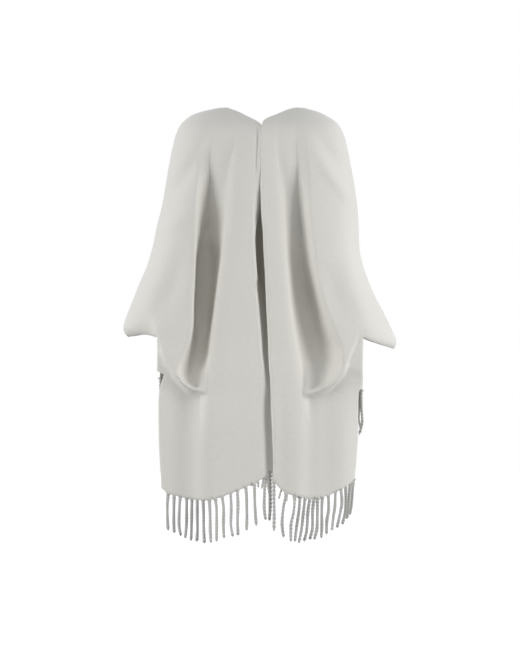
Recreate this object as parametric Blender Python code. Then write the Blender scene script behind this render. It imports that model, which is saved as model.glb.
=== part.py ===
"""An open-fronted fringed poncho of heavy wool cloth, filled out as it hangs when worn.

Frame: the front faces -Y, +X is the viewer's right, +Z is up. The origin is midway between the two points where
the neckline crosses the shoulders, so the whole garment hangs below it. Every table is in millimetres, and a "drop"
is a distance below the origin.
"""
import math

import bmesh
import bpy
import numpy as np

MM = 0.001

# Driving sizes
WALL = 2.4  # thickness of the cloth
SEAM_GAP = 0.3  # between two pieces that meet
CUFF_DROP = 520  # where the wings end
SECTION_POWER = 3.0  # how square a level section is: 2 is an ellipse
WING_PINCH = 0.42  # how much thinner a wing is at its middle than the body's curve would make it
TUCK = 9  # how far the deep fold reaches behind each of its edges
FLOOR_POWER = 2.6  # how flat the deep fold's floor is
LIP = 0.12  # how proud the sharp edge stands, as a share of the fold's depth
FRONT, BACK = -1, 1
LEFT, RIGHT = -1, 1

# Fringe
STRAND_LENGTH = 96
STRAND_WIDTH = 5.5
STRAND_PITCH = 14.6
STRAND_STEPS = 4
HEADING = 6  # height of the strip that the strands hang from
HEADING_GAP = 0.7  # between a sloping hem and its strip

# Columns of cloth between the lines that every section names: over the centre panel, across the deep fold, from its
# sharp edge to the body's side, and over the wing
FRONT_COLUMNS = (6, 7, 6, 5)
BACK_COLUMNS = (5, 5, 5, 4)

# The outline from the front: how far the cloth's silhouette stands out, and the depth line where front meets back
OUTLINE = {
    LEFT: [
        # drop, outer, turn (how far forward the shoulder and arm line lies)
        (0, 80, 0),
        (1.2, 99, 0),
        (5, 122, 0),
        (10, 143, 0),
        (18, 163, 0),
        (32, 178, 0),
        (45, 188, 0),
        (73, 198, 0),
        (130, 210, 2),
        (209, 223, 6),
        (282, 239, 12),
        (361, 260, 18),
        (436, 289, 24),
        (480, 306, 26),
        (502, 312, 27),
        (514, 308, 27),
        (520, 300, 27),
    ],
    RIGHT: [
        (0, 82, 0),
        (1.2, 97, 0),
        (5, 112, 0),
        (10, 130, 0),
        (18, 147, 0),
        (32, 169, 0),
        (45, 180, 0),
        (73, 191, 0),
        (130, 203, 2),
        (209, 216, 6),
        (282, 224, 12),
        (361, 238, 18),
        (436, 262, 24),
        (480, 290, 26),
        (494, 299, 27),
        (503, 305, 27),
        (514, 309, 27),
        (520, 301, 27),
    ],
}

# The lower edge of each wing: how low it lies at each distance out
CUFFS = {
    LEFT: [(233, 520), (264, 514), (290, 518), (312, 520)],
    RIGHT: [(226, 520), (259, 527), (285, 541), (309, 543)],
}

# Level sections of each face, from its inner edge outwards: the slit (or the middle of the back), the centre panel's
# outer edge, the sharp edge past the deep fold, the body's side, and the outer end that the curve aims for
SECTIONS = {
    "front_left": [
        # drop, inner, panel, ridge, side, outer, depth, fold, crown, roll
        (0, 80, 80, 80, 80, 80, 0, 0, 0, 0),
        (1.2, 76, 80, 84, 92, 99, 15, 0, 0, 0),
        (5, 66, 74, 82, 106, 122, 30, 0, 0, 0),
        (18, 36, 62, 84, 130, 163, 58, 0, 0, 0),
        (32, 14, 56, 92, 144, 178, 77, 0, 0, 0),
        (45, 3, 56, 98, 152, 188, 90, 0, 1, 0),
        (73, 3, 60, 106, 160, 198, 104, 0, 2, 0),
        (130, 5, 68, 116, 170, 210, 117, 7, 3, 0),
        (209, 8, 77, 128, 182, 223, 128, 26, 6, 3),
        (282, 12, 84, 140, 194, 239, 132, 50, 9, 6),
        (361, 9, 95, 147, 206, 260, 134, 68, 12, 9),
        (436, 2, 106, 151, 219, 289, 135, 72, 13, 11),
        (493, -2, 112, 154, 229, 311, 135, 66, 13, 13),
        (520, -5, 118, 160, 233, 300, 135, 58, 12, 15),
        (582, -14, 127, 170, 216, 253, 135, 28, 9, 24),
        (627, -17, 130, 174, 225, 254, 134, 6, 6, 30),
        (659, -19, 130, 172, 228, 254, 133, 0, 4, 32),
        (755, -21, 128, 170, 227, 254, 132, 0, 3, 28),
        (880, -20, 126, 168, 223, 250, 130, 0, 2, 18),
    ],
    "front_right": [
        (0, 82, 82, 82, 82, 82, 0, 0, 0, 0),
        (1.2, 77, 80, 84, 91, 97, 15, 0, 0, 0),
        (5, 62, 70, 79, 98, 112, 30, 0, 0, 0),
        (18, 27, 50, 72, 116, 147, 58, 0, 0, 0),
        (32, 2, 40, 74, 132, 169, 77, 0, 0, 0),
        (45, 1, 38, 76, 142, 180, 90, 0, 1, 0),
        (73, 0, 37, 78, 152, 191, 104, 0, 2, 0),
        (130, 0, 42, 84, 163, 203, 117, 5, 3, 0),
        (209, 0, 49, 96, 174, 216, 128, 22, 6, 2),
        (282, 4, 57, 107, 185, 224, 133, 46, 9, 3),
        (361, 9, 64, 117, 198, 238, 136, 66, 11, 5),
        (436, 12, 73, 124, 210, 262, 137, 74, 12, 6),
        (493, 15, 81, 130, 221, 292, 138, 70, 12, 7),
        (520, 17, 85, 137, 226, 309, 138, 62, 12, 8),
        (582, 20, 94, 150, 214, 254, 138, 30, 9, 9),
        (627, 22, 98, 156, 215, 244, 137, 6, 6, 8),
        (659, 23, 98, 156, 217, 244, 136, 0, 4, 6),
        (755, 25, 98, 154, 217, 242, 134, 0, 3, 4),
        (880, 26, 98, 152, 209, 236, 132, 0, 2, 3),
    ],
    "back": [
        # both halves of the back hang alike: the outer column is each side's own outline down to the cuff
        (0, 81, 81, 81, 81, 81, 0, 0, 0, 0),
        (1.2, 78, 81, 84, 91, 98, 13, 0, 0, 0),
        (5, 71, 77, 84, 101, 116, 26, 0, 0, 0),
        (18, 50, 64, 82, 124, 155, 49, 0, 0, 0),
        (30, 33, 55, 82, 137, 172, 64, 0, 0, 0),
        (38, 15, 48, 83, 143, 179, 70, 0, 0, 0),
        (42, 0, 44, 84, 145, 182, 73, 0, 0, 0),
        (73, 0, 46, 88, 155, 194, 88, 0, 0, 0),
        (130, 0, 52, 96, 166, 206, 106, 4, 0, 0),
        (209, 0, 62, 108, 178, 220, 117, 14, 1, 0),
        (282, 0, 72, 120, 190, 232, 120, 24, 2, 0),
        (361, 0, 82, 132, 203, 249, 121, 32, 3, 0),
        (436, 0, 90, 140, 216, 276, 121, 36, 4, 0),
        (493, 0, 96, 146, 227, 301, 120, 34, 5, 0),
        (520, 0, 99, 150, 233, 305, 120, 30, 5, 0),
        (600, 0, 104, 158, 243, 272, 120, 16, 6, 0),
        (700, 0, 106, 162, 246, 270, 121, 6, 6, 0),
        (880, 0, 108, 164, 246, 270, 122, 0, 6, 0),
    ],
}

# Hem lines: how low the edge lies at each distance out from the middle
HEMS = {
    "front_left": [(-30, 842), (0, 846), (30, 858), (60, 874), (110, 887), (150, 890), (190, 881), (235, 864)],
    "front_right": [(0, 846), (20, 853), (55, 868), (90, 882), (125, 886), (160, 876), (190, 859), (225, 836)],
    "back": [(-246, 626), (-220, 668), (-190, 732), (-150, 800), (-110, 842), (-60, 862), (0, 868),
             (60, 862), (110, 844), (150, 808), (190, 748), (220, 694), (246, 652)],
}
HEM_STARTS = {"front_left": 659, "front_right": 659, "back": 520}
HEM_DROP = 880  # the last row of every section table

# Swag folds under the arms, where the wing's fullness turns up: the points that the crest passes, how proud it is,
# and how deep the scoop above it is
SWAGS = {
    "front_left": [([(216, 572), (203, 598), (182, 620), (160, 636), (132, 646)], 9, 15)],
    "front_right": [([(207, 578), (194, 602), (172, 626), (148, 640), (100, 654)], 9, 15)],
    "back": [([(226, 566), (206, 596), (170, 624), (124, 640)], 7, 10)],
}

# Soft upright waves below the arms: place at the top and at the hem, half width, and how far it stands out
WAVES = {
    "front_left": [(134, 132, 22, 9), (60, 70, 34, -5), (196, 190, 22, -5)],
    "front_right": [(98, 96, 20, 8), (52, 50, 22, -5), (168, 158, 30, 6), (204, 200, 16, -4)],
    "back": [(0, 0, 46, -9), (96, 104, 30, 8), (160, 170, 28, -7), (212, 222, 20, 6)],
}

UPPER_LEVELS = [0, 1.2, 4, 9, 18, 30, 38, 42, 62, 90, 126, 168, 212, 256, 298, 338, 378, 416, 452, 484, 504, 514, 520]
FRONT_LEVELS = UPPER_LEVELS + [540, 560, 578, 594, 608, 620, 632, 645, 662, 695, 735, 780, 830, 880]
BACK_LEVELS = UPPER_LEVELS + [545, 570, 592, 612, 632, 655, 685, 720, 760, 800, 840, 880]


def smooth_between(places, values, at):
    """Reads a table column at any place by a cubic that never overshoots its neighbours."""
    places, values, at = (np.asarray(a, float) for a in (places, values, at))
    steps = np.diff(places)
    rises = np.diff(values) / steps
    slopes = np.zeros_like(values)
    same_way = rises[:-1] * rises[1:] > 0
    total = np.where(same_way, rises[:-1] + rises[1:], 1.0)
    slopes[1:-1] = np.where(same_way, 2 * rises[:-1] * rises[1:] / total, 0.0)
    slopes[0], slopes[-1] = rises[0], rises[-1]
    at = np.clip(at, places[0], places[-1])
    i = np.clip(np.searchsorted(places, at, side="right") - 1, 0, len(steps) - 1)
    t = (at - places[i]) / steps[i]
    blend = values[i] * (1 + 2 * t) * (1 - t) ** 2 + values[i + 1] * t * t * (3 - 2 * t)
    return blend + steps[i] * (slopes[i] * t * (1 - t) ** 2 - slopes[i + 1] * t * t * (1 - t))


def table_column(table, index, at):
    """One named column of a table, read at the given drops."""
    rows = np.array(table, float)
    return smooth_between(rows[:, 0], rows[:, index], at)


def along(table, at):
    """A table of two columns, place and value, read at any place."""
    return smooth_between(*np.array(table, float).T, at)


def swag_offset(out, drop, swags):
    """How far forward the swag folds push the cloth at each place."""
    push = np.zeros_like(out)
    for points, crest, scoop in swags:
        marks = np.array(points, float)
        knots = np.arange(len(points))
        line = np.stack([smooth_between(knots, marks[:, k], np.linspace(0, knots[-1], 60)) for k in (0, 1)], axis=-1)
        away = np.stack([out, drop], axis=-1)[..., None, :] - line
        distance = np.linalg.norm(away, axis=-1)
        nearest = distance.argmin(axis=-1)
        ahead = np.gradient(line, axis=0)[nearest]
        away = np.take_along_axis(away, nearest[..., None, None], axis=-2)[..., 0, :]
        above = np.sign(ahead[..., 0] * away[..., 1] - ahead[..., 1] * away[..., 0]) * distance.min(axis=-1)
        fade = np.sin(np.pi * np.clip(nearest / (len(line) - 1), 0.03, 0.97)) ** 0.7
        push += crest * fade * np.exp(-((above / np.where(above > 0, 7, 20)) ** 2))
        push -= scoop * fade * np.exp(-(((above - 22) / 14) ** 2))
    return push


def level_lines(name, side, drop):
    """The named distances out of each level section, with the wing's own outline down to the cuff."""
    table = SECTIONS[name]
    inner, panel, ridge, body_side, outer, depth, fold, crown, roll = (
        table_column(table, k, drop) for k in range(1, 10)
    )
    own_outer = table_column(OUTLINE[side], 1, drop)
    step = table_column(OUTLINE[side], 1, CUFF_DROP) - table_column(table, 5, CUFF_DROP)
    below = np.clip(drop - CUFF_DROP, 0, None)
    outer = np.where(below > 0, outer + step * np.exp(-below / 30), own_outer)
    return inner, panel, ridge, body_side, outer, depth, fold, crown, roll


def panel_grid(name, side, face, levels, columns):
    """The middle of the cloth as a grid of points: a row for each level, a column for each line down the cloth.

    Returns the points and, for each cell of the grid, whether there is cloth: the wing's columns end at its cuff."""
    panel_count, fold_count, side_count, wing_count = columns
    body = panel_count + fold_count + side_count
    drop = np.array(levels, float)[:, None]
    inner, panel, ridge, body_side, outer, depth, fold, crown, roll = level_lines(name, side, drop)
    above = drop <= CUFF_DROP
    tip = drop == 0
    span = np.where(tip, 1.0, outer - inner)

    stops = []
    for count, start, end in zip(columns, (inner, panel, ridge), (panel, ridge, body_side)):
        stops.append(start + (end - start) * np.arange(count) / count)
    start_angle = np.arcsin(np.clip((body_side - inner) / span, 0, 1) ** (SECTION_POWER / 2))
    share = np.arange(wing_count + 1) / wing_count
    angle = start_angle + (math.pi / 2 - start_angle) * share
    stops.append(inner + span * np.sin(angle) ** (2 / SECTION_POWER))
    out = np.concatenate(stops, axis=1)
    across = np.clip((out - inner) / span, 0, 1)
    forward = depth * np.sqrt(1 - across**SECTION_POWER)

    pinch = WING_PINCH * np.clip((drop - 130) / 390, 0, 1) * share**2 * (3 - 2 * share)
    forward[:, body:] *= 1 - pinch * above

    share = np.arange(panel_count + 1) / panel_count
    forward[:, : panel_count + 1] += crown * np.sin(np.pi * share) - roll * (1 - share) ** 3
    in_fold = slice(panel_count, panel_count + fold_count + 1)
    share = np.arange(fold_count + 1) / fold_count
    forward[:, in_fold] -= fold * (1 - np.abs(2 * share - 1) ** FLOOR_POWER)
    out[:, in_fold] -= TUCK * np.clip(fold / 50, 0, 1) * np.sin(2 * np.pi * share)
    past_fold = np.arange(out.shape[1]) >= panel_count + fold_count
    forward += LIP * fold * np.exp(-np.abs(out - ridge) / 16) * past_fold

    low = np.clip((drop - 560) / 160, 0, 1)
    for place_top, place_hem, half, stand in WAVES[name]:
        place = place_top + (place_hem - place_top) * low
        forward += stand * low * np.exp(-(((out - place) / half) ** 2))
    start = HEM_STARTS[name]
    hem = along(HEMS[name], side * out if name == "back" else out)
    real_drop = drop + np.clip((drop - start) / (HEM_DROP - start), 0, 1) * (hem - HEM_DROP)
    forward += swag_offset(out, real_drop, SWAGS[name])

    wing = (np.arange(out.shape[1]) >= body) & above
    lower = np.clip((drop - 440) / (CUFF_DROP - 440), 0, 1)
    real_drop = real_drop + wing * lower * (along(CUFFS[side], out) - CUFF_DROP)
    turn = table_column(OUTLINE[side], 2, drop) * np.exp(-np.clip(drop - CUFF_DROP, 0, None) / 50)
    forward[:, -1:] = np.where(above, SEAM_GAP / 2, forward[:, -1:])
    forward = np.where(tip, SEAM_GAP / 2, forward)
    points = np.stack([side * out, face * forward - turn * across**2, -real_drop], axis=-1)
    cells = np.ones((len(levels) - 1, out.shape[1] - 1), bool)
    cells[np.array(levels[:-1]) >= CUFF_DROP, body:] = False
    return points, cells


def cloth_normals(points, outward):
    """Which way the cloth faces at each point of a grid, square to the seam at the grid's last column."""
    normal = np.cross(np.gradient(points, axis=0), np.gradient(points, axis=1)) * outward
    normal[:, -1, 1] = 0
    normal[0, :] = (0, 0, 1)
    middle = np.abs(points[..., 0]) < 1e-6
    normal[middle, 0] = 0
    return normal / np.maximum(np.linalg.norm(normal, axis=-1, keepdims=True), 1e-9)


def wall_object(name, halves, material):
    """Makes one closed wall from the grids of a piece, welded along the middle line that they share.

    Each half is its points, its cells and which way round its faces run."""
    outer, inner, faces, known = [], [], [], {}
    for points, cells, outward in halves:
        normal = cloth_normals(points, outward)
        numbers = {}
        for r, c in np.ndindex(points.shape[:2]):
            near = cells[max(r - 1, 0) : r + 1, max(c - 1, 0) : c + 1]
            if not near.any():
                continue
            middle = len(halves) > 1 and abs(points[r, c, 0]) < 1e-6
            key = (0, "tip", outward) if r == 0 else (r, "middle") if middle else (r, c, outward)
            if key not in known:
                known[key] = len(outer)
                outer.append(points[r, c] + normal[r, c] * WALL / 2)
                inner.append(points[r, c] - normal[r, c] * WALL / 2)
            numbers[r, c] = known[key]
        for r, c in np.argwhere(cells):
            loop = [numbers[r, c], numbers[r, c + 1], numbers[r + 1, c + 1], numbers[r + 1, c]]
            loop = [k for n, k in enumerate(loop) if k != loop[n - 1]]
            faces.append(loop[::-1] if outward > 0 else loop)
    count = len(outer)
    edges = {(a, b) for face in faces for a, b in zip(face, face[1:] + face[:1])}
    solid = faces + [[k + count for k in face[::-1]] for face in faces]
    solid += [[b, a, a + count, b + count] for a, b in edges if (b, a) not in edges]
    return mesh_object(name, np.array(outer + inner) * MM, solid, material)


def fringe_object(name, hem, normal, material, lean):
    """Makes a heading strip just below a hem, with the twisted strands drawn down out of its lower face.

    The hem is a line of points with the cloth's normals there. Lean is how far the strands drift along X."""
    steps = np.linalg.norm(np.diff(hem, axis=0), axis=1)
    length = np.concatenate([[0], np.cumsum(steps)])
    count = int((length[-1] - STRAND_WIDTH - 4) // STRAND_PITCH) + 1
    first = (length[-1] - (count - 1) * STRAND_PITCH) / 2
    centres = first + STRAND_PITCH * np.arange(count)
    clear = np.abs(length[:, None] - centres).min(axis=1) > STRAND_WIDTH / 2 + 0.8
    clear &= (length > 1) & (length < length[-1] - 1)
    starts = centres - STRAND_WIDTH / 2
    marks = np.sort(np.concatenate([[0.5, length[-1] - 0.5], starts, centres + STRAND_WIDTH / 2, length[clear]]))
    place = np.stack([np.interp(marks, length, hem[:, k]) for k in range(3)], axis=-1)
    facing = np.stack([np.interp(marks, length, normal[:, k]) for k in range(3)], axis=-1)
    facing /= np.linalg.norm(facing, axis=1, keepdims=True)
    top = place - (0, 0, HEADING_GAP)
    corners = [top + facing * WALL / 2, top - facing * WALL / 2]
    points = [p + (0, 0, z) for z in (0, -HEADING) for face in corners for p in face]
    n = len(marks)
    front, rear, low_front, low_rear = 0, n, 2 * n, 3 * n
    faces = [[front, low_front, low_rear, rear], [front + n - 1, rear + n - 1, low_rear + n - 1, low_front + n - 1]]
    for k in range(n - 1):
        faces.append([front + k, front + k + 1, low_front + k + 1, low_front + k])
        faces.append([rear + k + 1, rear + k, low_rear + k, low_rear + k + 1])
        faces.append([front + k, rear + k, rear + k + 1, front + k + 1])
        ring = [low_front + k, low_front + k + 1, low_rear + k + 1, low_rear + k]
        if marks[k] in starts:
            ring = strand_rings(points, faces, ring, int(np.argmin(np.abs(starts - marks[k]))), lean)
        faces.append(ring)
    return mesh_object(name, np.array(points) * MM, faces, material)


def strand_rings(points, faces, ring, strand, lean):
    """Draws one strand down from four points of the heading and returns the four points at its tip."""
    base = np.mean([points[k] for k in ring], axis=0)
    wide = points[ring[1]] - points[ring[0]]
    wide = wide / np.linalg.norm(wide) * STRAND_WIDTH / 2
    thick = np.array([-wide[1], wide[0], 0]) * np.sign(np.dot([-wide[1], wide[0], 0], points[ring[3]] - points[ring[0]]))
    reach = STRAND_LENGTH * (1 + 0.04 * math.sin(strand * 2.3))
    for step in range(1, STRAND_STEPS + 1):
        t = step / STRAND_STEPS
        sway = lean(strand) * t + 1.6 * math.sin(strand * 1.7 + t * 4.0) * t
        middle = base + (sway, 1.4 * math.sin(strand * 2.9 + t * 3.0) * t, -reach * t)
        size = 1 - 0.25 * t
        new = len(points)
        for w, h in ((-1, -1), (1, -1), (1, 1), (-1, 1)):
            points.append(middle + (w * wide + h * thick) * size)
        for k in range(4):
            after = (k + 1) % 4
            faces.append([ring[k], ring[after], new + after, new + k])
        ring = [new, new + 1, new + 2, new + 3]
    return ring


def mesh_object(name, points, faces, material):
    """Makes a named object from points in metres, with its faces turned outwards."""
    mesh = bpy.data.meshes.new(name)
    mesh.from_pydata([tuple(p) for p in points], [], faces)
    form = bmesh.new()
    form.from_mesh(mesh)
    bmesh.ops.recalc_face_normals(form, faces=form.faces)
    form.to_mesh(mesh)
    form.free()
    mesh.shade_smooth()
    mesh.set_sharp_from_angle(angle=math.radians(50))
    mesh.materials.append(material)
    thing = bpy.data.objects.new(name, mesh)
    bpy.context.scene.collection.objects.link(thing)
    return thing


def make_material(name, colour, roughness):
    """A plain cloth material."""
    material = bpy.data.materials.new(name)
    material.use_nodes = True
    shader = material.node_tree.nodes["Principled BSDF"]
    shader.inputs["Base Color"].default_value = (*colour, 1)
    shader.inputs["Roughness"].default_value = roughness
    shader.inputs["Metallic"].default_value = 0
    return material


def front(name, side, cloth, yarn, lean):
    """One front panel and its fringe."""
    points, cells = panel_grid(name, side, FRONT, FRONT_LEVELS, FRONT_COLUMNS)
    wall_object(name, [(points, cells, side)], cloth)
    hem = slice(0, sum(FRONT_COLUMNS[:3]) + 1)
    fringe_object(f"fringe_{name}", points[-1, hem], cloth_normals(points, side)[-1, hem], yarn, lean)


def back(cloth, yarn):
    """The back panel and its fringe."""
    halves = [(*panel_grid("back", side, BACK, BACK_LEVELS, BACK_COLUMNS), -side) for side in (LEFT, RIGHT)]
    wall_object("back", halves, cloth)
    half_hem = slice(0, sum(BACK_COLUMNS[:3]) + 1)
    hem, facing = [], []
    for points, _, outward in halves:
        line = points[-1, half_hem]
        normal = cloth_normals(points, outward)[-1, half_hem]
        hem.append(line[::-1] if outward > 0 else line[1:])
        facing.append(normal[::-1] if outward > 0 else normal[1:])
    fringe_object("fringe_back", np.concatenate(hem), np.concatenate(facing), yarn, lambda strand: 0)


def main():
    for old in list(bpy.data.objects):
        bpy.data.objects.remove(old)
    cloth = make_material("wool_cloth", (0.62, 0.61, 0.58), 0.85)
    yarn = make_material("fringe_yarn", (0.54, 0.53, 0.51), 0.9)
    front("front_left", LEFT, cloth, yarn, lambda strand: 3 * math.sin(strand * 1.3))
    front("front_right", RIGHT, cloth, yarn, lambda strand: -13 + 4 * math.sin(strand * 1.1))
    back(cloth, yarn)


main()
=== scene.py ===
"""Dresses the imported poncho: its brushed wool cloth, its twisted fringe, and the studio that it is seen in.

The garment hangs as worn, with no wearer. Its front faces -Y, +X is the viewer's right and +Z is up.
Tables are in millimetres. A "drop" is a distance below the shoulder points, "out" is a distance from the
middle line, and "forward" is towards the viewer on the fronts and away from the viewer on the back.
"""

import logging
import math
from dataclasses import dataclass, field
from enum import Enum
from typing import ClassVar

import bmesh
import bpy
import numpy as np
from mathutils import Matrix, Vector


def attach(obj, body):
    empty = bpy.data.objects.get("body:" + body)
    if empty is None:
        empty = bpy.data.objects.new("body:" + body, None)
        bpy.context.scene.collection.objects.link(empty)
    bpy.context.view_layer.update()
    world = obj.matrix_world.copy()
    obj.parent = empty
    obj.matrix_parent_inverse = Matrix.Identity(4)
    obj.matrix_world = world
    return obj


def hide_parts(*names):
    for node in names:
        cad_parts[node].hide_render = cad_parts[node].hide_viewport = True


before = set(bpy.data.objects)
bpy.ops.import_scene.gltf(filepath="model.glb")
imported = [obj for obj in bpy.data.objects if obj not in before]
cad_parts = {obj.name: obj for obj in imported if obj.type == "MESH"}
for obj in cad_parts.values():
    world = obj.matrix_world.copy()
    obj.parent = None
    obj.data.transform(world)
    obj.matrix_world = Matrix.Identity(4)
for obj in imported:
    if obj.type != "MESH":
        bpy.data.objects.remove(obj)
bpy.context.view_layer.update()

MM = 0.001
BODY = "root"
LOG = logging.getLogger("poncho")

# Stands in for nought where something is divided by it
TINY = 1e-9

Row = tuple[float, ...]
Table = tuple[Row, ...]
Socket = bpy.types.NodeSocket


class Side(Enum):
    """Which side of the middle line, as the viewer sees it."""

    LEFT = -1
    RIGHT = 1


class Face(Enum):
    """Which way a panel of the garment faces along Y."""

    FRONT = -1
    BACK = 1


def smooth_between(places: np.ndarray, values: np.ndarray, at: np.ndarray) -> np.ndarray:
    """Reads a table column by a cubic that never overshoots its neighbours.

    Args:
        places: where the column's values stand, rising.
        values: the values there.
        at: the places to read.

    Returns:
        The value at each place, held level past both ends.
    """
    places, values, at = (np.asarray(a, float) for a in (places, values, at))
    steps = np.diff(places)
    rises = np.diff(values) / steps
    slopes = np.zeros_like(values)
    same_way = rises[:-1] * rises[1:] > 0
    total = np.where(same_way, rises[:-1] + rises[1:], 1.0)
    slopes[1:-1] = np.where(same_way, 2 * rises[:-1] * rises[1:] / total, 0.0)
    slopes[0], slopes[-1] = rises[0], rises[-1]
    at = np.clip(at, places[0], places[-1])
    i = np.clip(np.searchsorted(places, at, side="right") - 1, 0, len(steps) - 1)
    t = (at - places[i]) / steps[i]
    blend = values[i] * (1 + 2 * t) * (1 - t) ** 2 + values[i + 1] * t * t * (3 - 2 * t)
    return blend + steps[i] * (slopes[i] * t * (1 - t) ** 2 - slopes[i + 1] * t * t * (1 - t))


def read_column(table: Table, index: int, at: np.ndarray) -> np.ndarray:
    """Reads one named column of a table at the given places of its first column.

    Args:
        table: the table.
        index: the column's number.
        at: the places to read.

    Returns:
        The column's value at each place.
    """
    rows = np.array(table, float)
    return smooth_between(rows[:, 0], rows[:, index], at)


def soften(values: np.ndarray, rounds: int, axis: int) -> np.ndarray:
    """Rounds off sharp turns in a grid by averaging each value with its neighbours.

    Args:
        values: the grid.
        rounds: how many times to average.
        axis: the direction to average along; both ends stay as they are.

    Returns:
        The softened grid.
    """
    grid = np.moveaxis(np.array(values, float), axis, 0)
    for _ in range(rounds):
        grid[1:-1] = (grid[:-2] + 2 * grid[1:-1] + grid[2:]) / 4
    return np.moveaxis(grid, 0, axis)


@dataclass(frozen=True)
class Crease:
    """A soft ridge or trough that follows a line on the cloth.

    Attributes:
        points: the places (out, drop) that it passes, from its start.
        stand: how far it stands forward, negative for a trough.
        left: its half width on the left of its line as it runs.
        right: its half width on the right.
        shift: how far its top lies to the left of the line.
        taper: how slowly it rises from its ends, from 0 for at once to 1.
        stop: how near the middle line it may come.
    """

    points: Table
    stand: float
    left: float
    right: float
    shift: float = 0.0
    taper: float = 0.7
    stop: float = -100.0
    # Points of the line for each mark, half widths that it reaches, its ends' share, and the way to its stop
    fineness: ClassVar[int] = 16
    reach: ClassVar[int] = 3
    end_share: ClassVar[float] = 0.02
    stop_ease: ClassVar[float] = 14

    def push(self, out: np.ndarray, drop: np.ndarray) -> np.ndarray:
        """How far forward the crease moves the cloth at each place.

        Args:
            out: distances from the middle line.
            drop: distances below the shoulder points.

        Returns:
            The move towards the viewer's side of the cloth.
        """
        marks = np.array(self.points, float)
        knots = np.arange(len(marks))
        steps = np.linspace(0, knots[-1], self.fineness * len(marks))
        line = np.stack([smooth_between(knots, marks[:, k], steps) for k in (0, 1)], axis=-1)
        reach = self.reach * max(self.left, self.right) + abs(self.shift)
        low, high = line.min(axis=0) - reach, line.max(axis=0) + reach
        near = (out > low[0]) & (out < high[0]) & (drop > low[1]) & (drop < high[1])
        result = np.zeros_like(out)
        place = np.stack([out[near], drop[near]], axis=-1)
        away = place[:, None, :] - line
        distance = np.linalg.norm(away, axis=-1)
        nearest = distance.argmin(axis=-1)
        ahead = np.gradient(line, axis=0)[nearest]
        away = away[np.arange(len(place)), nearest]
        turn = ahead[:, 0] * away[:, 1] - ahead[:, 1] * away[:, 0]
        side = np.sign(turn) * distance.min(axis=-1) - self.shift
        width = np.where(side > 0, self.left, self.right)
        along = np.clip(nearest / (len(line) - 1), self.end_share, 1 - self.end_share)
        result[near] = self.stand * np.sin(np.pi * along) ** self.taper * np.exp(-((side / width) ** 2))
        return result * np.clip((out - self.stop) / self.stop_ease, 0, 1)


@dataclass(frozen=True)
class PanelShape:
    """The drape of one panel, by level sections.

    Attributes:
        sections: a row for each level: drop, then the distances out of the inner edge, the centre panel's
            outer edge, the deepest place of the deep fold, the ridge past it, the body's side and the
            outer end that the curve aims for, then the section's depth, the deep fold's depth, how proud
            the centre panel's outer edge stands (below nought where it turns back) and how far the inner
            edge rolls back.
        walls: the deep fold's two walls by level: drop, how sharply each falls (1 for a straight slope), how
            rounded the ridge's lip is (1 for crisp), and how far it tucks in behind each lip.
        hem: how low the edge lies at each distance out.
        hem_start: the drop from which the levels bend towards the hem.
        creases: the ridges and troughs on it.
        waves: soft upright waves below the arms: place at the top, place at the hem, half width and stand.
        steps: places below the arms where the cloth falls back on its way out: the same columns, but the last
            says how far it falls.
        curl: how far its side edge curls in below the arms.
        rim: the line (out, drop) at which the deep fold ends.
        cleft: how far the inner edge turns in at the slit by level, and over what width.
    """

    sections: Table
    walls: Table
    hem: Table
    hem_start: float
    creases: tuple[Crease, ...]
    waves: Table
    steps: Table = ()
    curl: float = 0
    rim: Table = ((0, 2000), (1, 2000))
    cleft: Table = ((0, 0, 5), (1, 0, 5))


# By side: drop, outer, and how far forward the shoulder and arm line lies there
OUTLINES: dict[Side, Table] = {
    Side.LEFT: (
        (0, 80, 0), (1.2, 96, 0), (5, 116, 0), (10, 137, 0), (18, 158, 0), (32, 176, 0), (45, 186, 0),
        (73, 196, 0), (130, 208, 2), (209, 221, 6), (282, 238, 12), (309, 243, 14), (345, 253, 17),
        (364, 259, 18), (400, 275, 21), (436, 289, 24), (480, 306, 26), (502, 312, 27), (514, 308, 27),
        (520, 300, 27),
    ),
    Side.RIGHT: (
        (0, 82, 0), (1.2, 97, 0), (5, 112, 0), (10, 130, 0), (18, 147, 0), (32, 169, 0), (45, 180, 0),
        (73, 191, 0), (130, 203, 2), (209, 216, 6), (255, 220, 10), (282, 221, 12), (327, 223, 15),
        (345, 227, 17), (364, 232, 18), (400, 245, 21), (436, 261, 24), (480, 290, 26), (494, 299, 27),
        (503, 305, 27), (514, 309, 27), (520, 301, 27),
    ),
}
# By side: out, and how low the lower edge of the wing lies there
CUFFS: dict[Side, Table] = {
    Side.LEFT: ((233, 520), (264, 514), (290, 518), (312, 520)),
    Side.RIGHT: ((226, 519), (243, 527), (266, 535), (289, 542), (303, 546), (309, 546)),
}


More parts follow.
